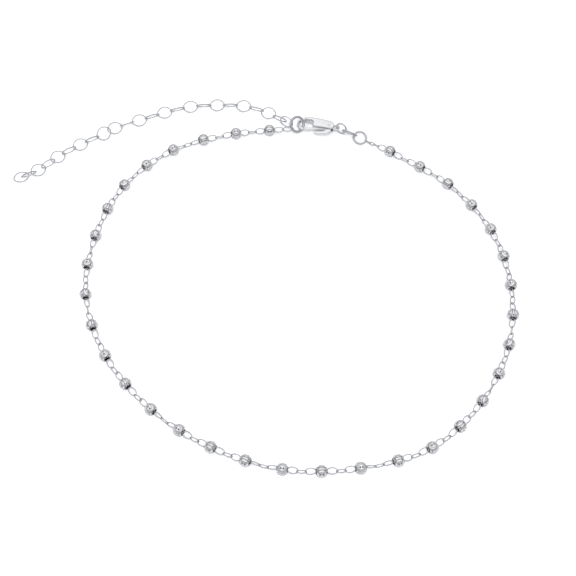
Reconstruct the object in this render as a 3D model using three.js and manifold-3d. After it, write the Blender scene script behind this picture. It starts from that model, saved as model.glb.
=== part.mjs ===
// Choker necklace of small balls on a fine link chain, closed by a lobster clasp, with an extender chain.
// It lies on a table. Millimetres, +Z up, table at z = 0, origin under the middle of the whole piece.
import * as THREE from 'three';
import { mergeVertices } from 'three/addons/utils/BufferGeometryUtils.js';
import Module from 'manifold-3d';

const wasm = await Module();
wasm.setup();

// ---------------------------------------------------------------- driving dimensions
// The strand: 34 balls of 3 mm, about 9 mm apart on a chain of fine links.
const ballDiameter = 3.0;
const ballCount = 34;
const chainWidth = 1.0;
const chainSag = 0.55;
const strandLengths = [6, 6, 5, 5, 6, 6];
const strandGap = 0.3;
const ballSides = 8;
const ballBands = 6;
const chainSides = 8;

// Where every second ball lies on the table, from the clasp's tail round to the clasp's hook. The last
// point is the far end of the last link, which is where the next ball would be.
const strandRoute = [
  [35.1, 38.8], [49.9, 27.8], [60.0, 13.0], [63.7, -4.3], [61.7, -21.8], [54.0, -37.4],
  [41.3, -49.8], [24.5, -55.1], [6.4, -55.4], [-10.3, -49.7], [-24.8, -39.7], [-36.7, -24.9],
  [-42.9, -7.1], [-41.8, 11.0], [-35.4, 27.4], [-23.1, 39.3], [-6.4, 45.0], [11.9, 46.7],
];

// The extender: oval cable links, from the ring at the clasp's hook to the free end. The first hangs in that
// ring, and the others lie along the route.
const linkLength = 4.45;
const linkWidth = 3.8;
const linkWire = 0.3;
const linkPitch = 3.66;
const linkHeight = 1.35;
const firstLink = { at: [7.34, 48.18, 2.52], turn: -26, pitch: -36, lean: 84 };
const linkRoute = [
  [5.45, 50.32], [2.39, 52.31], [-4.39, 54.83], [-11.7, 55.12], [-18.94, 54.61], [-26.14, 52.45],
  [-32.92, 49.66], [-39.28, 46.97], [-42.27, 44.86], [-48.3, 41.15], [-53.99, 36.88], [-58.73, 32.45],
  [-64.5, 29.3],
];
// Lean of each link about the chain: near flat and near upright links take turns, with one twist.
const flatLean = 10;
const uprightLean = -38;
const linkTable = [
  { links: 1, spacing: 0, lean: [uprightLean] },
  { links: 11, spacing: linkPitch, lean: [flatLean, uprightLean] },
  { links: 2, spacing: 3.5, lean: [-50, flatLean] },
  { links: 1, spacing: 3.54, lean: [50] },
  { links: 4, spacing: 3.55, lean: [-36, flatLean, -32, flatLean] },
  { links: 2, spacing: 3.28, lean: [-28, flatLean] },
  { links: 1, spacing: 2.75, lean: [uprightLean] },
  { links: 1, spacing: 2.1, lean: [-5] },
];

// Round rings: outer diameter, wire, centre, and how each is turned, pitched and leaned in degrees.
const hookRing = { name: 'hook_ring', outer: 4.7, wire: 0.7, at: [10.18, 47.77, 1.96], turn: 23, pitch: 21, lean: 46 };
const tailRing = { name: 'tail_ring', outer: 3.3, wire: 0.45, at: [22.19, 46.54, 1.65], turn: -31, pitch: 1, lean: 72 };
const middleRing = { name: 'middle_ring', outer: 4.5, wire: 0.45, at: [24.4, 44.86, 1.85], turn: -49, pitch: -21, lean: -43 };
const strandRing = { name: 'strand_ring', outer: 4.0, wire: 0.55, at: [27.16, 43.46, 1.46], turn: -9, pitch: 10, lean: 16 };
const ringSides = 5;
const ringSteps = 14;

// The clasp, in its own frame: u runs from the hook's nose to the tail, v across, w up from its flat back.
const claspNose = [10.15, 48.6, 0.35];
const claspTurn = -8;
const claspThick = 2.0;
const noseRadius = 1.68;
const noseBar = 0.85;
const noseCentre = [2.1, -0.05];
const tailEye = { u: 10.7, outer: 1.9, hole: 1.2, thick: 0.5 };
const pivot = [8.8, -0.3];
const pinDiameter = 0.6;
const pinGap = 0.1;
const leverThick = 0.8;
const slotThick = 1.1;

// ---------------------------------------------------------------- finishes
const silver = (colour, roughness) =>
  new THREE.MeshStandardMaterial({ color: colour, metalness: 1, roughness });
const cutSilver = silver(0xe4e6ea, 0.12);
const wireSilver = silver(0xd9dbdf, 0.2);
const castSilver = silver(0xdcdde0, 0.25);

// ---------------------------------------------------------------- helpers
const necklace = new THREE.Group();
const radians = THREE.MathUtils.degToRad;

function addMesh(name, geometry, material, parent = necklace) {
  const mesh = new THREE.Mesh(geometry, material);
  mesh.name = name;
  parent.add(mesh);
  return mesh;
}

// A closed mesh as a solid that can be joined and cut, and back again.
function toSolid(geometry) {
  const bare = geometry.clone();
  bare.deleteAttribute('normal');
  bare.deleteAttribute('uv');
  const merged = mergeVertices(bare, 1e-4);
  return new wasm.Manifold(new wasm.Mesh({
    numProp: 3,
    vertProperties: new Float32Array(merged.attributes.position.array),
    triVerts: new Uint32Array(merged.index.array),
  }));
}

function toGeometry(solid) {
  const mesh = solid.getMesh();
  const geometry = new THREE.BufferGeometry();
  geometry.setAttribute('position', new THREE.BufferAttribute(mesh.vertProperties, 3));
  geometry.setIndex(new THREE.BufferAttribute(mesh.triVerts, 1));
  geometry.computeVertexNormals();
  return geometry;
}

function circle(diameter, sides) {
  const shape = new THREE.Shape();
  for (let i = 0; i < sides; i += 1) {
    const angle = (2 * Math.PI * i) / sides;
    const method = i === 0 ? 'moveTo' : 'lineTo';
    shape[method]((diameter / 2) * Math.cos(angle), (diameter / 2) * Math.sin(angle));
  }
  shape.closePath();
  return shape;
}

const turned = ({ turn = 0, pitch = 0, lean = 0 }) =>
  new THREE.Euler(radians(lean), radians(pitch), radians(turn), 'ZYX');

function ringGeometry(length, width, wire) {
  const ring = new THREE.TorusGeometry((length - wire) / 2, wire / 2, ringSides, ringSteps);
  return ring.scale(1, (width - wire) / (length - wire), 1);
}

// A point of a ring's wire and the wire's direction there.
function onRing(ring, degrees) {
  const angle = radians(degrees);
  const radius = (ring.outer - ring.wire) / 2;
  const attitude = turned(ring);
  const point = new THREE.Vector3(radius * Math.cos(angle), radius * Math.sin(angle), 0);
  const along = new THREE.Vector3(-Math.sin(angle), Math.cos(angle), 0);
  return {
    point: point.applyEuler(attitude).add(new THREE.Vector3(...ring.at)),
    along: along.applyEuler(attitude),
  };
}

// ---------------------------------------------------------------- the strand
const ballLine = new THREE.CatmullRomCurve3(
  strandRoute.map(([x, y]) => new THREE.Vector3(x, y, ballDiameter / 2)), false, 'catmullrom', 0.5);

// The thread's place at a position counted in balls: on the ball's middle at whole numbers, sagging between.
function threadPlace(count) {
  const place = ballLine.getPoint(count / (2 * (strandRoute.length - 1)));
  place.z -= chainSag * Math.abs(Math.sin(Math.PI * count));
  return place;
}

// A curve that is straight between the given stations and has them at equal steps.
class Stations extends THREE.Curve {
  constructor(places) {
    super();
    this.places = places;
  }

  getPoint(t, target = new THREE.Vector3()) {
    const position = t * (this.places.length - 1);
    const before = Math.min(Math.floor(position), this.places.length - 2);
    return target.lerpVectors(this.places[before], this.places[before + 1], position - before);
  }

  getPointAt(u, target) {
    return this.getPoint(u, target);
  }

  getTangentAt(u, target) {
    return this.getTangent(u, target);
  }
}

function threadSolid(places) {
  const geometry = new THREE.ExtrudeGeometry(circle(chainWidth, chainSides), {
    extrudePath: new Stations(places), steps: places.length - 1, bevelEnabled: false,
  });
  return toSolid(geometry);
}

function ballSolid(count) {
  const ahead = threadPlace(count + 0.5).sub(threadPlace(Math.max(count - 0.5, 0))).setZ(0).normalize();
  const across = new THREE.Vector3(-ahead.y, ahead.x, 0);
  const ball = new THREE.SphereGeometry(ballDiameter / 2, ballSides, ballBands);
  const place = new THREE.Matrix4().makeBasis(across, ahead, new THREE.Vector3(0, 0, -1));
  ball.applyMatrix4(place.setPosition(threadPlace(count)));
  return toSolid(ball);
}

// The loop at a strand's end, round a ring's wire, and where the thread meets it.
function endEye(ring, degrees, towards) {
  const outer = 1.9;
  const wire = 0.4;
  const { point: centre, along } = onRing(ring, degrees);
  const pull = towards.clone().sub(centre).normalize();
  const out = pull.clone().addScaledVector(along, -pull.dot(along)).normalize();
  const eye = ringGeometry(outer, outer, wire);
  const side = new THREE.Vector3().crossVectors(along, out);
  eye.applyMatrix4(new THREE.Matrix4().makeBasis(out, side, along).setPosition(centre));
  return { solid: toSolid(eye), join: centre.clone().addScaledVector(out, (outer - wire) / 2) };
}

const firstEye = endEye(strandRing, -18, threadPlace(0));
const lastEye = endEye(hookRing, 215, threadPlace(ballCount - 1));

// Where a strand's thread stops, half a gap short of the next strand's.
function cutEnd(count, ball) {
  const middle = threadPlace(count);
  return middle.clone().add(ball.clone().sub(middle).setLength(strandGap / 2));
}

let firstBall = 0;
strandLengths.forEach((balls, index) => {
  const lastBall = firstBall + balls - 1;
  const isFirst = index === 0;
  const isLast = index === strandLengths.length - 1;
  const places = [];
  for (let half = 2 * firstBall; half <= 2 * lastBall; half += 1) {
    places.push(threadPlace(half / 2));
  }
  const start = isFirst ? firstEye.join : cutEnd(firstBall - 0.5, places[0]);
  const end = isLast ? lastEye.join : cutEnd(lastBall + 0.5, places[places.length - 1]);
  let solid = threadSolid([start, ...places, end]);
  for (let ball = firstBall; ball <= lastBall; ball += 1) {
    solid = solid.add(ballSolid(ball));
  }
  if (isFirst) solid = solid.add(firstEye.solid);
  if (isLast) solid = solid.add(lastEye.solid);
  addMesh(`strand_${index + 1}`, toGeometry(solid), cutSilver);
  firstBall += balls;
});

// ---------------------------------------------------------------- rings
[hookRing, tailRing, middleRing, strandRing].forEach((ring) => {
  const mesh = addMesh(ring.name, ringGeometry(ring.outer, ring.outer, ring.wire), wireSilver);
  mesh.position.set(...ring.at);
  mesh.rotation.copy(turned(ring));
});

// ---------------------------------------------------------------- the extender
const linkLine = new THREE.CatmullRomCurve3(
  linkRoute.map(([x, y]) => new THREE.Vector3(x, y, linkHeight)), false, 'catmullrom', 0.5);
const linkLineLength = linkLine.getLength();

// The middle of a leaning link when its lower side is on the table.
const restingHeight = (lean) =>
  (linkWire + (linkWidth - linkWire) * Math.sin(radians(Math.abs(lean)))) / 2;

let linkNumber = 0;
function addLink(place, attitude) {
  linkNumber += 1;
  const name = `extender_link_${String(linkNumber).padStart(2, '0')}`;
  const link = addMesh(name, ringGeometry(linkLength, linkWidth, linkWire), wireSilver);
  link.position.copy(place);
  link.rotation.copy(turned(attitude));
}

addLink(new THREE.Vector3(...firstLink.at), firstLink);
let travelled = 0;
linkTable.forEach((row) => {
  for (let i = 0; i < row.links; i += 1) {
    travelled += row.spacing;
    const lean = row.lean[i % row.lean.length];
    const place = linkLine.getPointAt(travelled / linkLineLength);
    place.z = Math.max(linkHeight, restingHeight(lean));
    const ahead = linkLine.getTangentAt(travelled / linkLineLength);
    addLink(place, { turn: THREE.MathUtils.radToDeg(Math.atan2(-ahead.y, -ahead.x)), lean });
  }
});

// ---------------------------------------------------------------- the clasp
const clasp = new THREE.Group();
clasp.position.set(...claspNose);
clasp.rotation.z = radians(claspTurn);
necklace.add(clasp);

function outline(points) {
  const shape = new THREE.Shape();
  points.forEach((point, index) => {
    if (index === 0) {
      shape.moveTo(point[0], point[1]);
    } else if (point.length === 2) {
      shape.lineTo(point[0], point[1]);
    } else {
      shape.quadraticCurveTo(point[0], point[1], point[2], point[3]);
    }
  });
  shape.closePath();
  return shape;
}

function plate(shape, thick, bevel, curveSegments = 4) {
  const geometry = new THREE.ExtrudeGeometry(shape, {
    depth: thick - 2 * bevel,
    curveSegments,
    bevelEnabled: bevel > 0,
    bevelThickness: bevel,
    bevelSize: bevel,
    bevelOffset: -bevel,
    bevelSegments: 1,
  });
  return geometry.translate(0, 0, bevel - thick / 2);
}

function upright(diameter, height, sides, u, v) {
  const geometry = new THREE.CylinderGeometry(diameter / 2, diameter / 2, height, sides);
  return geometry.rotateX(Math.PI / 2).translate(u, v, 0);
}

// The cast body: a thick shank with the far jaw, a round hook, and the eye at its tail.
const bodyOutline = outline([
  [1.9, 1.2],
  [1.9, 2.0],
  [3.4, 2.15, 5.0, 2.0],
  [8.0, 1.75, 9.5, 1.25],
  [10.1, 1.0, 10.15, 0.3],
  [10.1, -0.4],
  [9.95, -0.95, 9.3, -1.1],
  [7.4, -1.0, 5.0, -0.85],
  [4.4, -0.8],
  [4.35, 0.5],
  [4.3, 1.1, 3.6, 1.2],
]);
let body = toSolid(plate(bodyOutline, claspThick, 0.2));

const hookPath = new THREE.CatmullRomCurve3([[2.75, 1.62]].concat(
  [92, 120, 150, 180, 210, 240, 268].map((degrees) => [
    noseCentre[0] + noseRadius * Math.cos(radians(degrees)),
    noseCentre[1] + noseRadius * Math.sin(radians(degrees)),
  ])).map(([u, v]) => new THREE.Vector3(u, v, 0)));
body = body.add(toSolid(new THREE.ExtrudeGeometry(circle(noseBar, 8), {
  extrudePath: hookPath, steps: 12, bevelEnabled: false,
})));

body = body.add(toSolid(upright(tailEye.outer, tailEye.thick, 18, tailEye.u, 0)));
body = body.subtract(toSolid(upright(tailEye.hole, 2 * claspThick, 14, tailEye.u, 0)));

// The slot that the lever lies in, open at the mouth and along the near side, and the pin's hole.
const slotOutline = outline([
  [3.9, -2.4],
  [3.9, 0.45],
  [7.4, 0.5],
  [8.2, 0.8, 9.2, 0.8],
  [9.7, 0.7, 9.85, -0.3],
  [9.9, -0.9, 9.7, -2.4],
]);
body = body.subtract(toSolid(plate(slotOutline, slotThick, 0)));
body = body.subtract(toSolid(upright(pinDiameter + 2 * pinGap, 2 * claspThick, 14, ...pivot)));

// The lever: an arm that closes the mouth, a hub on the pin, and a thumb tab beside the body.
const leverOutline = outline([
  [2.35, -1.5],
  [2.35, -2.05],
  [4.4, -1.75, 6.0, -1.3],
  [7.0, -1.1, 7.9, -1.25],
  [8.1, -1.5, 7.6, -1.85],
  [6.6, -2.4, 5.1, -2.5],
  [5.1, -2.95],
  [8.6, -3.0, 9.45, -1.5],
  [9.6, -1.0, 9.55, -0.3],
  [9.5, 0.35, 8.8, 0.4],
  [8.1, 0.35, 7.4, -0.35],
  [5.6, -0.95, 2.35, -1.5],
]);
const lever = toSolid(plate(leverOutline, leverThick, 0.12))
  .subtract(toSolid(upright(pinDiameter + 2 * pinGap, 2 * claspThick, 14, ...pivot)));

[
  ['clasp_body', toGeometry(body)],
  ['trigger', toGeometry(lever)],
  ['trigger_pin', upright(pinDiameter, claspThick, 12, ...pivot)],
].forEach(([name, geometry]) => {
  addMesh(name, geometry, castSilver, clasp).position.z = claspThick / 2;
});

export default necklace;
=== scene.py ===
import math

import bmesh
import bpy
import numpy as np
from mathutils import Matrix, Vector


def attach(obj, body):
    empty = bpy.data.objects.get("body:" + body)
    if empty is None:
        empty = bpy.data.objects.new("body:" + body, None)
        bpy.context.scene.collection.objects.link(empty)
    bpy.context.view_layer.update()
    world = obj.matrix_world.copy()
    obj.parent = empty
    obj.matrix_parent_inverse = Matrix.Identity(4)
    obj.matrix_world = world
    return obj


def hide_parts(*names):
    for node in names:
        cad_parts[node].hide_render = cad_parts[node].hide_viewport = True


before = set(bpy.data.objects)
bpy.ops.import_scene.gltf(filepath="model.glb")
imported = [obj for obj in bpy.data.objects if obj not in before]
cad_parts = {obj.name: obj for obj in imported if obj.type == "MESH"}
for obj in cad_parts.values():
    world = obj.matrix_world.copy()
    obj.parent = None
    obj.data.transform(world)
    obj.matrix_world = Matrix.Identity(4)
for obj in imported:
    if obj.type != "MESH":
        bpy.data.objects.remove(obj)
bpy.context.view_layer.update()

MM = 0.001


# ---------------------------------------------------------------- camera, table and light
# The necklace lies on a white table under a wide soft light from overhead. Silver is a mirror, so the room
# has a darker band low down, which gives the cuts and wires their grey lines. The camera sees pale grey.
def linear(hex_colour):
    """The linear RGBA of an sRGB hex colour."""
    parts = [int(hex_colour[i:i + 2], 16) / 255 for i in (1, 3, 5)]
    return [c / 12.92 if c <= 0.04045 else ((c + 0.055) / 1.055) ** 2.4 for c in parts] + [1.0]


def node(tree, kind, inputs=(), **settings):
    """Adds a node with its settings, its inputs' values and its incoming links."""
    made = tree.nodes.new(kind)
    for name, value in settings.items():
        setattr(made, name, value)
    for key, value in dict(inputs).items():
        if isinstance(value, bpy.types.NodeSocket):
            tree.links.new(value, made.inputs[key])
        else:
            made.inputs[key].default_value = value
    return made


scene = bpy.context.scene
scene.view_settings.view_transform = "Standard"

camera = bpy.data.objects.new("camera", bpy.data.cameras.new("camera"))
camera.data.lens = 86.16
camera.data.clip_start = 0.01
camera_target = Vector((0.0077, -0.0043, 0.0))
camera.location = (0.0077, -0.1964, 0.2891)
camera.rotation_euler = (camera_target - camera.location).to_track_quat("-Z", "Y").to_euler()
scene.collection.objects.link(camera)
scene.camera = camera

world = bpy.data.worlds.new("soft white room")
scene.world = world
world.use_nodes = True
tree = world.node_tree
tree.nodes.clear()
direction = node(tree, "ShaderNodeTexCoord").outputs["Generated"]
height = node(tree, "ShaderNodeSeparateXYZ", {0: direction}).outputs["Z"]
room = node(tree, "ShaderNodeValToRGB", {"Fac": height})
ramp = room.color_ramp
stops = [(0.0, "#a8a9ac"), (0.15, "#8a8b8f"), (0.35, "#b2b3b6"), (0.6, "#e0e1e3"), (0.8, "#fdfdfe")]
while len(ramp.elements) < len(stops):
    ramp.elements.new(0.5)
for element, (position, colour) in zip(ramp.elements, stops):
    element.position = position
    element.color = linear(colour)
seen = node(tree, "ShaderNodeLightPath").outputs["Is Camera Ray"]
backdrop = node(tree, "ShaderNodeMixRGB", {0: seen, 1: room.outputs[0], 2: linear("#f4f5f7")}).outputs[0]
light = node(tree, "ShaderNodeBackground", {"Color": backdrop, "Strength": 1.0}).outputs[0]
node(tree, "ShaderNodeOutputWorld", {"Surface": light})

# Two lamps give the table its soft shadows. They don't show in the silver.
for name, place, size, watts in [
    ("front_softbox", (0.05, -0.30, 0.55), 0.22, 2.6),
    ("left_softbox", (-0.40, 0.05, 0.50), 0.16, 0.8),
]:
    lamp = bpy.data.lights.new(name, "AREA")
    lamp.shape = "SQUARE"
    lamp.size = size
    lamp.energy = watts
    holder = bpy.data.objects.new(name, lamp)
    holder.location = place
    holder.rotation_euler = (-holder.location).to_track_quat("-Z", "Y").to_euler()
    holder.visible_glossy = False
    scene.collection.objects.link(holder)

table_mesh = bpy.data.meshes.new("table")
half_table = 1.5
corners = [(x * half_table, y * half_table, 0) for x, y in ((-1, -1), (1, -1), (1, 1), (-1, 1))]
table_mesh.from_pydata(corners, [], [(0, 1, 2, 3)])
table = bpy.data.objects.new("table", table_mesh)
scene.collection.objects.link(table)
paint = bpy.data.materials.new("white table with painted grey reflection")
paint.use_nodes = True
tree = paint.node_tree
table_shader = tree.nodes["Principled BSDF"]
# Painted reflection: the table is white to the camera but a mid grey sheet to every other ray, so the silver
# mirrors a darker table than the one seen.
seen = node(tree, "ShaderNodeLightPath").outputs["Is Camera Ray"]
sheet = node(tree, "ShaderNodeMixRGB", {0: seen, 1: linear("#c2c2c4"), 2: linear("#f6f7f9")}).outputs[0]
tree.links.new(sheet, table_shader.inputs["Base Color"])
table_shader.inputs["Roughness"].default_value = 0.7
table_mesh.materials.append(paint)


# ---------------------------------------------------------------- the balls
# Moon-cut balls of 3 mm: a silver ball drilled through and cut with diamond tools. Each of its three sides
# has two rings scored round a pair of dimples, and small facets stand round each end of the hole.
ball_mm, hole_mm = 1.5, 0.6
ball_radius = ball_mm * MM
groove_reach, groove_width, groove_depth = 50, 12, 0.16
score_reach, score_width, score_depth = 26, 10, 0.11
dimple_radius, dimple_depth, dimple_tilt = 0.24, 0.19, 12
side_dimple_depth, side_dimple_tilt = 0.16, 34
facet_radius, facet_depth, facet_tilt, facet_count = 0.6, 0.13, 62, 8


def new_object(name, mesh):
    made = bpy.data.objects.new(name, mesh)
    scene.collection.objects.link(made)
    return made


def lathe(name, profile, segments):
    """A closed solid turned about the Z axis from (radius, height) points that start and end on the axis."""
    inner = profile[1:-1]
    points = [(0, 0, profile[0][1])]
    for radius, height in inner:
        for i in range(segments):
            angle = 2 * math.pi * i / segments
            points.append((radius * math.cos(angle), radius * math.sin(angle), height))
    points.append((0, 0, profile[-1][1]))
    faces = []
    for i in range(segments):
        j = (i + 1) % segments
        faces.append((0, 1 + j, 1 + i))
        for ring in range(len(inner) - 1):
            low, high = 1 + ring * segments, 1 + (ring + 1) * segments
            faces.append((low + i, low + j, high + j, high + i))
        last = 1 + (len(inner) - 1) * segments
        faces.append((last + i, last + j, len(points) - 1))
    mesh = bpy.data.meshes.new(name)
    mesh.from_pydata(points, [], faces)
    return mesh


def combine(kept, others, operation):
    """Joins or cuts one solid with others, and clears them away."""
    for other in others:
        step = kept.modifiers.new("solid", "BOOLEAN")
        step.operation = operation
        step.solver = "EXACT"
        step.object = other
    graph = bpy.context.evaluated_depsgraph_get()
    mesh = bpy.data.meshes.new_from_object(kept.evaluated_get(graph))
    kept.modifiers.clear()
    kept.data = mesh
    for other in others:
        bpy.data.objects.remove(other)


def round_tool(name, radius, reach, rings, segments):
    """A cutter with a round nose that points down, its tip at the origin."""
    shank = 1.5
    profile = [(0, 0)]
    for ring in range(1, rings + 1):
        angle = math.radians(reach) * ring / rings
        profile.append((radius * math.sin(angle), radius * (1 - math.cos(angle))))
    profile.append((profile[-1][0], shank + profile[-1][1]))
    profile.append((0, profile[-1][1]))
    return lathe(name, profile, segments)


def cutter(mesh, around, tilt, nose):
    """A cutter set on the ball: turned round the hole (X), tilted to the hole's end, its nose at a height."""
    tool = new_object("cutter", mesh.copy())
    turn = Matrix.Rotation(math.radians(around), 4, "X") @ Matrix.Rotation(math.radians(tilt), 4, "Y")
    tool.data.transform(turn @ Matrix.Translation((0, 0, nose)))
    return tool


def ring_tool(name, reach, width, depth, segments):
    """A cutter like a bevelled tube that scores a ring of the given reach round the tip of the ball."""
    inner, middle, outer = (math.radians(reach + offset) for offset in (-width / 2, width * 0.1, width / 2))
    high, bottom = 1.05 * ball_mm, ball_mm - depth
    corners = ((high, inner), (bottom, middle), (high, outer))
    profile = [(r * math.sin(a), r * math.cos(a)) for r, a in corners]
    points, faces = [], []
    for i in range(segments):
        angle = 2 * math.pi * i / segments
        points += [(x * math.cos(angle), x * math.sin(angle), z) for x, z in profile]
        for k in range(3):
            here, there = 3 * i, 3 * ((i + 1) % segments)
            faces.append((here + k, there + k, there + (k + 1) % 3, here + (k + 1) % 3))
    mesh = bpy.data.meshes.new(name)
    mesh.from_pydata(points, [], faces)
    return mesh


# The ball is cut at millimetre size and then scaled down, because the solver merges points that lie close
# together in metres. The drill and the facets are turned a few degrees off the other cuts, because an edge
# that falls exactly on another would leave the ball open.
drill_turn, drill_half, facet_turn = 3, 2, 7
angles = np.linspace(0, math.pi, 25)
ball_profile = [(ball_mm * math.sin(a), -ball_mm * math.cos(a)) for a in angles]
ball_profile[0], ball_profile[-1] = (0, -ball_mm), (0, ball_mm)
ball = new_object("ball", lathe("ball", ball_profile, 48))
ball.data.transform(Matrix.Rotation(math.radians(90), 4, "Y"))
drill_profile = [(0, -drill_half), (hole_mm, -drill_half), (hole_mm, drill_half), (0, drill_half)]
drill = lathe("drill", drill_profile, 24)
combine(ball, [cutter(drill, drill_turn, 90, 0)], "DIFFERENCE")

rounds = (0, 120, 240)
groove_tool = ring_tool("groove tool", groove_reach, groove_width, groove_depth, 36)
score_tool = ring_tool("score tool", score_reach, score_width, score_depth, 24)
for tool in (groove_tool, score_tool):
    combine(ball, [cutter(tool, around, 0, 0) for around in rounds], "DIFFERENCE")

dimple_tool = round_tool("dimple tool", dimple_radius, 80, 3, 10)
dimples = [cutter(dimple_tool, around, tilt, ball_mm - dimple_depth)
           for around in rounds for tilt in (-dimple_tilt, dimple_tilt)]
dimples += [cutter(dimple_tool, around + 60, tilt, ball_mm - side_dimple_depth)
            for around in rounds for tilt in (-side_dimple_tilt, side_dimple_tilt)]
combine(ball, dimples, "DIFFERENCE")

facet_tool = round_tool("facet tool", facet_radius, 60, 4, 12)
facets = [cutter(facet_tool, 360 // facet_count * i + facet_turn, tilt, ball_mm - facet_depth)
          for i in range(facet_count) for tilt in (-facet_tilt, facet_tilt)]
combine(ball, facets, "DIFFERENCE")
ball.data.shade_smooth()
ball.data.set_sharp_from_angle(angle=math.radians(22))

# How deep each face lies under the ball's surface, from 0 to 1, used as painted shade: the silver's colour
# darkens with it, darkest inside the hole and soonest in the facets at the ends, which see little of the
# light.
side_darkest, end_darkest, end_start = 0.18, 0.09, 1.12


def depth_of(face):
    """0 at the ball's surface, 1 inside the hole or at the darkest depth."""
    if math.hypot(*face.center.yz) < 0.99 * hole_mm:
        return 1.0
    darkest = end_darkest if abs(face.center.x) > end_start else side_darkest
    return min(1, (ball_mm - face.center.length) / darkest)


painted_shade_depth = ball.data.attributes.new("painted_shade_depth", "FLOAT", "FACE")
painted_shade_depth.data.foreach_set("value", [depth_of(face) for face in ball.data.polygons])
ball.data.transform(Matrix.Scale(MM, 4))

# Where every second ball lies, as in the CAD route. The last point is where the next ball would be.
strand_route = [
    (35.1, 38.8), (49.9, 27.8), (60.0, 13.0), (63.7, -4.3), (61.7, -21.8), (54.0, -37.4),
    (41.3, -49.8), (24.5, -55.1), (6.4, -55.4), (-10.3, -49.7), (-24.8, -39.7), (-36.7, -24.9),
    (-42.9, -7.1), (-41.8, 11.0), (-35.4, 27.4), (-23.1, 39.3), (-6.4, 45.0), (11.9, 46.7),
]
ball_count = 34
knots = [Vector((x * MM, y * MM, ball_radius)) for x, y in strand_route]
knots = [2 * knots[0] - knots[1]] + knots + [2 * knots[-1] - knots[-2]]


def on_route(count):
    """The thread's place at a position counted in balls, on a Catmull-Rom curve through the route."""
    piece = min(int(count / 2), len(knots) - 4)
    t = count / 2 - piece
    a, b, c, d = knots[piece:piece + 4]
    square, cube = 2 * a - 5 * b + 4 * c - d, 3 * b - a - 3 * c + d
    return b + (c - a) * (t / 2) + square * (t * t / 2) + cube * (t ** 3 / 2)


ball_places = [on_route(i) for i in range(ball_count)]
ball_ahead = [(on_route(i + 0.4) - on_route(max(i - 0.4, 0))).normalized() for i in range(ball_count)]


def points_object(name, places, turns):
    """Loose points that each carry the turn of what a tree sets there."""
    mesh = bpy.data.meshes.new(name)
    mesh.from_pydata([tuple(p) for p in places], [], [])
    carried = mesh.attributes.new("turn", "FLOAT_VECTOR", "POINT")
    carried.data.foreach_set("vector", [component for turn in turns for component in turn])
    return new_object(name, mesh)


def new_tree(name, sizes):
    """An empty Geometry Nodes tree with its named inputs: label, socket type and starting value."""
    tree = bpy.data.node_groups.new(name, "GeometryNodeTree")
    tree.interface.new_socket("Geometry", in_out="OUTPUT", socket_type="NodeSocketGeometry")
    tree.interface.new_socket("Geometry", in_out="INPUT", socket_type="NodeSocketGeometry")
    for label, kind, start in sizes:
        socket = tree.interface.new_socket(label, in_out="INPUT", socket_type="NodeSocket" + kind)
        if start is not None:
            socket.default_value = start
    return tree, node(tree, "NodeGroupInput").outputs


def finish_tree(tree, geometry, material):
    real = node(tree, "GeometryNodeRealizeInstances", {0: geometry}).outputs[0]
    coated = node(tree, "GeometryNodeSetMaterial", {0: real, "Material": material}).outputs[0]
    node(tree, "NodeGroupOutput", {0: coated})


def grow(holder, tree, values, name):
    """Runs a tree on an object and turns the result into a plain mesh of its own."""
    step = holder.modifiers.new("grow", "NODES")
    step.node_group = tree
    for item in tree.interface.items_tree:
        if item.in_out == "INPUT" and item.name in values:
            step[item.identifier] = values[item.name]
    graph = bpy.context.evaluated_depsgraph_get()
    mesh = bpy.data.meshes.new_from_object(holder.evaluated_get(graph))
    mesh.name = name
    bpy.data.objects.remove(holder)
    return new_object(name, mesh)


def silver(name, colour, roughness, scratch_mm, relief):
    """Sterling silver: near white, a mirror under fine marks left by the tool or by tumbling.

    The marks are drawn several times coarser than real ones, which would be too fine to show.
    """
    # Painted shade: the dark colour that the deep faces of the ball are tinted towards.
    painted_shade_colour, cloud_mm = "#28282b", 1.2
    made = bpy.data.materials.new(name)
    made.use_nodes = True
    tree = made.node_tree
    shader = tree.nodes["Principled BSDF"]
    place = node(tree, "ShaderNodeTexCoord").outputs["Object"]
    marks = node(tree, "ShaderNodeTexNoise", {
        "Vector": place, "Scale": 1 / (scratch_mm * MM), "Detail": 3.0}).outputs[0]
    cloud = node(tree, "ShaderNodeTexNoise", {
        "Vector": place, "Scale": 1 / (cloud_mm * MM), "Detail": 2.0}).outputs[0]
    spread = node(tree, "ShaderNodeMapRange", {
        0: cloud, 1: 0.3, 2: 0.7, 3: roughness * 0.7, 4: roughness * 1.3}).outputs[0]
    bump = node(tree, "ShaderNodeBump", {
        "Height": marks, "Distance": relief * MM, "Strength": 0.5}).outputs[0]
    shader.inputs["Metallic"].default_value = 1.0
    # Painted shade: the base colour is mixed towards the dark one by how deep the face lies.
    painted_shade_depth = node(tree, "ShaderNodeAttribute", attribute_name="painted_shade_depth").outputs["Fac"]
    tint = node(tree, "ShaderNodeMixRGB", {
        0: painted_shade_depth, 1: linear(colour), 2: linear(painted_shade_colour)}).outputs[0]
    tree.links.new(tint, shader.inputs["Base Color"])
    tree.links.new(spread, shader.inputs["Roughness"])
    tree.links.new(bump, shader.inputs["Normal"])
    return made


# Faces left by a diamond tool: bright and white, with a soft sheen from its fine lines.
cut_silver = silver("diamond-cut sterling silver", "#fbfbfc", 0.3, 0.06, 0.0012)


def facing(ahead, roll):
    """The turn that points X ahead, with Y rolled by an angle from level."""
    level = Vector((-ahead.y, ahead.x, 0)).normalized()
    frame_turn = Matrix((ahead, level, ahead.cross(level))).transposed() @ Matrix.Rotation(roll, 3, "X")
    return Vector(frame_turn.to_euler())


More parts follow.
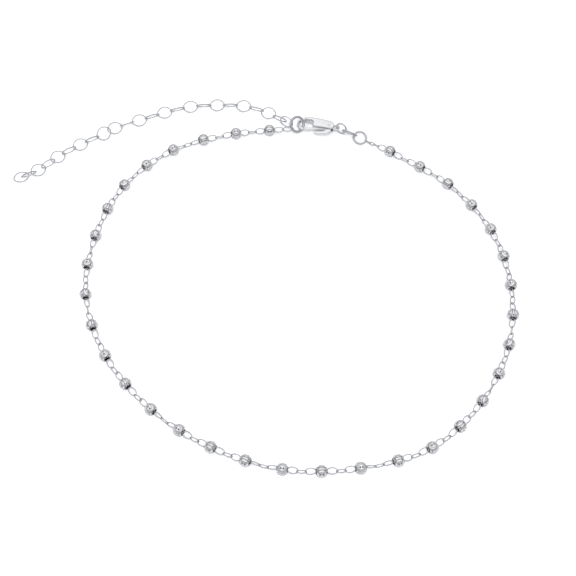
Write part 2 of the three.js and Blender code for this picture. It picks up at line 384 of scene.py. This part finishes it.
tree, given = new_tree("balls along the thread", [("Ball", "Object", None), ("Finish", "Material", None)])
turn = node(tree, "GeometryNodeInputNamedAttribute", {"Name": "turn"}, data_type="FLOAT_VECTOR").outputs[0]
turned = node(tree, "FunctionNodeEulerToRotation", {0: turn}).outputs[0]
source = node(tree, "GeometryNodeObjectInfo", {"Object": given["Ball"]}).outputs["Geometry"]
placed = node(tree, "GeometryNodeInstanceOnPoints", {
    "Points": given["Geometry"], "Instance": source, "Rotation": turned}).outputs[0]
finish_tree(tree, placed, given["Finish"])

# How far each ball's first cut side is turned from the top towards the front: some show the rings low, as
# an arch, some high, as a bowl, and the rest lie as they fell.
arched, arched_angle = (1, 14, 16, 18, 19, 22), 64
bowled, bowled_angle = (2, 4, 5, 15, 17, 20, 21, 30, 31, 33), 18
ball_turn = []
for i, ahead in enumerate(ball_ahead, 1):
    angle = arched_angle if i in arched else bowled_angle if i in bowled else 37 * i % 120
    ball_turn.append(facing(ahead, math.radians(angle if ahead.x > 0 else -angle)))
ball_points = points_object("ball points", ball_places, ball_turn)
balls = grow(ball_points, tree, {"Ball": ball, "Finish": cut_silver}, "balls")
bpy.data.objects.remove(ball)
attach(balls, "necklace")
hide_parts("strand_1", "strand_2", "strand_3", "strand_4", "strand_5", "strand_6")


# ---------------------------------------------------------------- the links between the balls
# Three soldered links of 0.28 mm silver wire fill each gap: a wide one soldered into each ball's hole, and
# a slim one between them. Each is turned across its neighbours.
link_wire = 0.28 * MM
wide_link = (2.8 * MM, 1.75 * MM)
slim_link = (2.6 * MM, 1.45 * MM)
link_overlap = 2 * link_wire + 0.05 * MM
solder_reach = ball_radius - 0.2 * MM
link_sag = Vector((0, 0, 0.4 * MM))

# Wire drawn and then tumbled: smooth. Its colour is painted a shade greyer than the cut balls, as painted
# shade for the grey lines that thin wire shows.
wire_silver = silver("drawn silver wire painted greyer", "#d2d2d4", 0.16, 0.08, 0.001)

tree, given = new_tree("wire links", [
    ("Wire", "Float", link_wire), ("Length", "Float", 1 * MM), ("Width", "Float", 1 * MM),
    ("Pointed", "Float", 0.0), ("Steps", "Int", 28), ("Sides", "Int", 8), ("Finish", "Material", None)])
half_wire = node(tree, "ShaderNodeMath", {0: given["Wire"], 1: 0.5}, operation="MULTIPLY").outputs[0]
profile = node(tree, "GeometryNodeCurvePrimitiveCircle", {
    "Resolution": given["Sides"], "Radius": half_wire}).outputs[0]
circle = node(tree, "GeometryNodeCurvePrimitiveCircle", {
    "Resolution": given["Steps"], "Radius": 0.5}).outputs[0]
place = node(tree, "ShaderNodeSeparateXYZ", {0: node(tree, "GeometryNodeInputPosition").outputs[0]}).outputs
doubled = node(tree, "ShaderNodeMath", {0: place["Y"], 1: 2.0}, operation="MULTIPLY").outputs[0]
level = node(tree, "ShaderNodeMath", {0: doubled}, operation="ABSOLUTE").outputs[0]
pinch = node(tree, "ShaderNodeMath", {0: level, 1: given["Pointed"]}, operation="POWER").outputs[0]
across = node(tree, "ShaderNodeMath", {0: place["Y"], 1: pinch}, operation="MULTIPLY").outputs[0]
spans = [node(tree, "ShaderNodeMath", {0: given[size], 1: given["Wire"]}, operation="SUBTRACT").outputs[0]
         for size in ("Length", "Width")]
shaped = [node(tree, "ShaderNodeMath", {0: part, 1: span}, operation="MULTIPLY").outputs[0]
          for part, span in zip((place["X"], across), spans)]
moved = node(tree, "ShaderNodeCombineXYZ", {"X": shaped[0], "Y": shaped[1]}).outputs[0]
oval = node(tree, "GeometryNodeSetPosition", {"Geometry": circle, "Position": moved}).outputs[0]
bent = node(tree, "GeometryNodeCurveToMesh", {"Curve": oval, "Profile Curve": profile}).outputs[0]
turn = node(tree, "GeometryNodeInputNamedAttribute", {"Name": "turn"}, data_type="FLOAT_VECTOR").outputs[0]
turned = node(tree, "FunctionNodeEulerToRotation", {0: turn}).outputs[0]
placed = node(tree, "GeometryNodeInstanceOnPoints", {
    "Points": given["Geometry"], "Instance": bent, "Rotation": turned}).outputs[0]
smooth = node(tree, "GeometryNodeSetShadeSmooth", {0: placed}).outputs[0]
finish_tree(tree, smooth, given["Finish"])
wire_links = tree

# How far the wide links and the slim link of a gap lean over, in degrees: most gaps look open from the
# front, and some look narrow.
edge_on = (3, 4, 8, 10, 14, 17, 20, 24, 26, 29, 31)
open_leans, narrow_leans, second_lean = (-38, 28), (28, -84), 15
link_reach = (slim_link[0] + wide_link[0]) / 2 - link_overlap
wide_places, wide_turns, slim_places, slim_turns = [], [], [], []
for gap in range(1, ball_count):
    here, there = ball_places[gap - 1], ball_places[gap]
    run = (there - here).normalized()
    middle = on_route(gap - 0.5) - link_sag
    lean, slim_lean = narrow_leans if gap in edge_on else open_leans
    if run.x > 0:
        lean, slim_lean = -lean, -slim_lean
    for ball_place, side, more in ((here, -1, 0), (there, 1, second_lean)):
        hole = ball_place - side * run * solder_reach
        outward = (hole - middle).normalized()
        wide_places.append(middle + outward * link_reach)
        wide_turns.append(facing(outward * side, math.radians(lean + more)))
    slim_places.append(middle)
    slim_turns.append(facing(run, math.radians(slim_lean)))

# Past the first ball, three small links reach the strand ring. Past the last, one reaches the hook ring.
ring_end = Vector((28.65, 42.71, 1.03)) * MM
thread_end = ball_places[0]
small_link, small_first, small_pitch, small_leans = (1.9 * MM, 1.0 * MM), 0.77, 1.29, (-70, 15, -65)
first_lean, last_lean, last_slack = 20, 10, 0.12 * MM
hook_link, hook_lean, hook_inset = (3.2 * MM, 1.4 * MM), 62, 0.49 * MM
small_places, small_turns = [], []
run = (thread_end - ring_end).normalized()
for k, lean in enumerate(small_leans):
    small_places.append(ring_end + run * (small_first + small_pitch * k) * MM)
    small_turns.append(facing(run, math.radians(lean)))
hole = thread_end - run * solder_reach
run = (hole - small_places[-1]).normalized()
wide_places.append(hole - run * (wide_link[0] / 2 - link_wire))
wide_turns.append(facing(run, math.radians(first_lean)))
hook_end = Vector((8.81, 46.32, 1.78)) * MM
hole = ball_places[-1] + (hook_end - ball_places[-1]).normalized() * solder_reach
run = (hook_end - hole).normalized()
wide_places.append(hole + run * (wide_link[0] / 2 - link_wire + last_slack))
wide_turns.append(facing(run, math.radians(last_lean)))
hook_place = hook_end - run * (hook_link[0] / 2 - hook_inset)
hook_turn = facing(run, math.radians(hook_lean))

for name, places, turns, (length, width) in (
        ("small_links", small_places, small_turns, small_link),
        ("hook_link", [hook_place], [hook_turn], hook_link),
        ("wide_links", wide_places, wide_turns, wide_link),
        ("slim_links", slim_places, slim_turns, slim_link)):
    links = grow(points_object(name, places, turns), wire_links,
                 {"Length": length, "Width": width, "Finish": wire_silver}, name)
    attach(links, "necklace")


# ---------------------------------------------------------------- the extender
# A cable chain of 24 oval links, bent from 0.3 mm silver wire and soldered. Each link is a little pointed
# where its neighbours pull on it. It lies loose, each link where its CAD solid is.
extender_wire, extender_length, extender_width, extender_point = 0.3 * MM, 4.45 * MM, 3.8 * MM, 0.4


def lie_of(cad_node):
    """The middle of a CAD ring or link, and the turn that lays its long way on X and its width on Y."""
    points = np.array([v.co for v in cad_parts[cad_node].data.vertices])
    middle = points.mean(0)
    axes = np.linalg.eigh(np.cov((points - middle).T))[1]
    along, across = Vector(axes[:, 2]), Vector(axes[:, 1])
    turn = Matrix((along, across, along.cross(across))).transposed()
    return Vector(middle), Vector(turn.to_euler())


extender_names = [f"extender_link_{i:02d}" for i in range(1, 25)]
lies = [lie_of(name) for name in extender_names]
extender_points = points_object("extender points", *zip(*lies))
extender = grow(extender_points, wire_links, {
    "Wire": extender_wire, "Length": extender_length, "Width": extender_width, "Pointed": extender_point,
    "Steps": 48, "Sides": 10, "Finish": wire_silver}, "extender_chain")
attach(extender, "necklace")
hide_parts(*extender_names)


# ---------------------------------------------------------------- the rings
# Four round jump rings of drawn wire join the clasp, the strand and the extender. The ring that the hook
# catches is the thick one.
for name, outer, wire in (
        ("hook_ring", 4.7, 0.7), ("tail_ring", 3.3, 0.45),
        ("middle_ring", 4.5, 0.45), ("strand_ring", 4.0, 0.55)):
    middle, turn = lie_of(name)
    ring = grow(points_object(name, [middle], [turn]), wire_links, {
        "Wire": wire * MM, "Length": outer * MM, "Width": outer * MM, "Steps": 72, "Sides": 16,
        "Finish": wire_silver}, name + "_wire")
    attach(ring, "necklace")
    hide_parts(name)


# ---------------------------------------------------------------- the clasp
# A lobster clasp: a cast and tumbled silver claw with a round hook, an eye at its tail and a slot for the
# lever, which turns on a riveted pin and closes the hook's mouth.
clasp_place = (Matrix.Translation((10.15 * MM, 48.6 * MM, 1.35 * MM))
               @ Matrix.Rotation(math.radians(-8), 4, "Z") @ Matrix.Scale(MM, 4))
body_thick, body_edge, slot_wide, lever_thick, lever_edge = 2.0, 0.25, 1.1, 0.8, 0.15
pin_hole, lever_hole, rivet_wide, through = 0.7, 0.8, 0.6, 4
hook_wire, hook_bend, hook_centre = 0.43, 1.68, (2.1, -0.05)
hook_start, hook_sweep, hook_steps = 92, 176, 18
eye_wire, eye_bend, eye_at = 0.25, 0.77, 10.7
pivot = (8.8, -0.3)


def outline(points, steps=8):
    """Points of a closed outline whose rows are a corner, or a bend and the corner after it."""
    path = [Vector(points[0])]
    for row in points[1:]:
        if len(row) == 2:
            path.append(Vector(row))
            continue
        start, bend, end = path[-1], Vector(row[:2]), Vector(row[2:])
        for i in range(1, steps + 1):
            t = i / steps
            path.append(start * (1 - t) ** 2 + bend * 2 * t * (1 - t) + end * t * t)
    return path


def plate(name, path, thick, bevel):
    """A flat plate of that outline, its edges rounded."""
    build = bmesh.new()
    face = build.faces.new([build.verts.new((p.x, p.y, -thick / 2)) for p in path])
    lifted = bmesh.ops.extrude_face_region(build, geom=[face])["geom"]
    lifted = [item for item in lifted if isinstance(item, bmesh.types.BMVert)]
    bmesh.ops.translate(build, verts=lifted, vec=(0, 0, thick))
    bmesh.ops.recalc_face_normals(build, faces=build.faces)
    mesh = bpy.data.meshes.new(name)
    build.to_mesh(mesh)
    build.free()
    made = new_object(name, mesh)
    if bevel:
        step = made.modifiers.new("edge", "BEVEL")
        step.width = bevel
        step.segments = 4
        step.limit_method = "ANGLE"
        step.angle_limit = math.radians(50)
        combine(made, [], "UNION")
    return made


def peg(name, diameter, height):
    """A round peg through the pivot, to cut a hole with or to fill one."""
    radius, half = diameter / 2, height / 2
    made = new_object(name, lathe(name, [(0, -half), (radius, -half), (radius, half), (0, half)], 32))
    made.data.transform(Matrix.Translation((*pivot, 0)))
    return made


body_path = outline([
    (1.9, 1.2), (1.9, 2.0), (3.4, 2.15, 5.0, 2.0), (8.0, 1.75, 9.5, 1.25), (10.1, 1.0, 10.15, 0.3),
    (10.1, -0.4), (9.95, -0.95, 9.3, -1.1), (7.4, -1.0, 5.0, -0.85), (4.4, -0.8), (4.35, 0.5),
    (4.3, 1.1, 3.6, 1.2)])
claw = plate("claw", body_path, body_thick, body_edge)

hook_curve = bpy.data.curves.new("hook", "CURVE")
hook_curve.dimensions = "3D"
hook_curve.bevel_depth = hook_wire
hook_curve.bevel_resolution = 5
hook_curve.use_fill_caps = True
bend = hook_curve.splines.new("POLY")
hook_points = [(3.3, 1.62), (2.75, 1.62)]
for i in range(hook_steps + 1):
    angle = math.radians(hook_start + i * hook_sweep / hook_steps)
    hook_points.append((
        hook_centre[0] + hook_bend * math.cos(angle), hook_centre[1] + hook_bend * math.sin(angle)))
bend.points.add(len(hook_points) - 1)
for point, (u, v) in zip(bend.points, hook_points):
    point.co = (u, v, 0, 1)
hook = new_object("hook", hook_curve)
hook_mesh = bpy.data.meshes.new_from_object(hook.evaluated_get(bpy.context.evaluated_depsgraph_get()))
bpy.data.objects.remove(hook)
hook = new_object("hook", hook_mesh)

eye_profile = bpy.data.meshes.new("tail eye")
build = bmesh.new()
bmesh.ops.create_circle(build, segments=14, radius=eye_wire)
bmesh.ops.rotate(build, verts=build.verts, cent=(0, 0, 0), matrix=Matrix.Rotation(math.radians(90), 3, "X"))
bmesh.ops.translate(build, verts=build.verts, vec=(eye_bend, 0, 0))
bmesh.ops.spin(build, geom=build.verts[:] + build.edges[:], cent=(0, 0, 0), axis=(0, 0, 1), steps=32,
               angle=2 * math.pi, use_merge=True)
bmesh.ops.remove_doubles(build, verts=build.verts, dist=1e-4)
bmesh.ops.recalc_face_normals(build, faces=build.faces)
build.to_mesh(eye_profile)
build.free()
tail_eye = new_object("tail eye", eye_profile)
tail_eye.data.transform(Matrix.Translation((eye_at, 0, 0)))
combine(claw, [hook, tail_eye], "UNION")

slot_path = outline([
    (3.9, -2.4), (3.9, 0.45), (7.4, 0.5), (8.2, 0.8, 9.2, 0.8), (9.7, 0.7, 9.85, -0.3),
    (9.9, -0.9, 9.7, -2.4)])
combine(claw, [plate("slot", slot_path, slot_wide, 0), peg("pin hole", pin_hole, through)], "DIFFERENCE")

lever_path = outline([
    (2.35, -1.5), (2.35, -2.05), (4.4, -1.75, 6.0, -1.3), (7.0, -1.1, 7.9, -1.25), (8.1, -1.5, 7.6, -1.85),
    (6.6, -2.4, 5.1, -2.5), (5.1, -2.95), (8.6, -3.0, 9.45, -1.5), (9.6, -1.0, 9.55, -0.3),
    (9.5, 0.35, 8.8, 0.4), (8.1, 0.35, 7.4, -0.35), (5.6, -0.95, 2.35, -1.5)])
lever = plate("lever", lever_path[:-1], lever_thick, lever_edge)
combine(lever, [peg("lever hole", lever_hole, through)], "DIFFERENCE")
rivet = peg("rivet", rivet_wide, body_thick)

# Castings tumbled with steel shot: white, with softened edges and a faint grain.
cast_silver = silver("cast and tumbled silver", "#f5f5f6", 0.2, 0.12, 0.002)
for piece, cad_node, body in (
        (claw, "clasp_body", "necklace"), (lever, "trigger", "lever"), (rivet, "trigger_pin", "necklace")):
    piece.name = cad_node + "_cast"
    piece.data.transform(clasp_place)
    piece.data.materials.clear()
    piece.data.materials.append(cast_silver)
    piece.data.shade_smooth()
    piece.data.set_sharp_from_angle(angle=math.radians(35))
    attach(piece, body)
    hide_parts(cad_node)
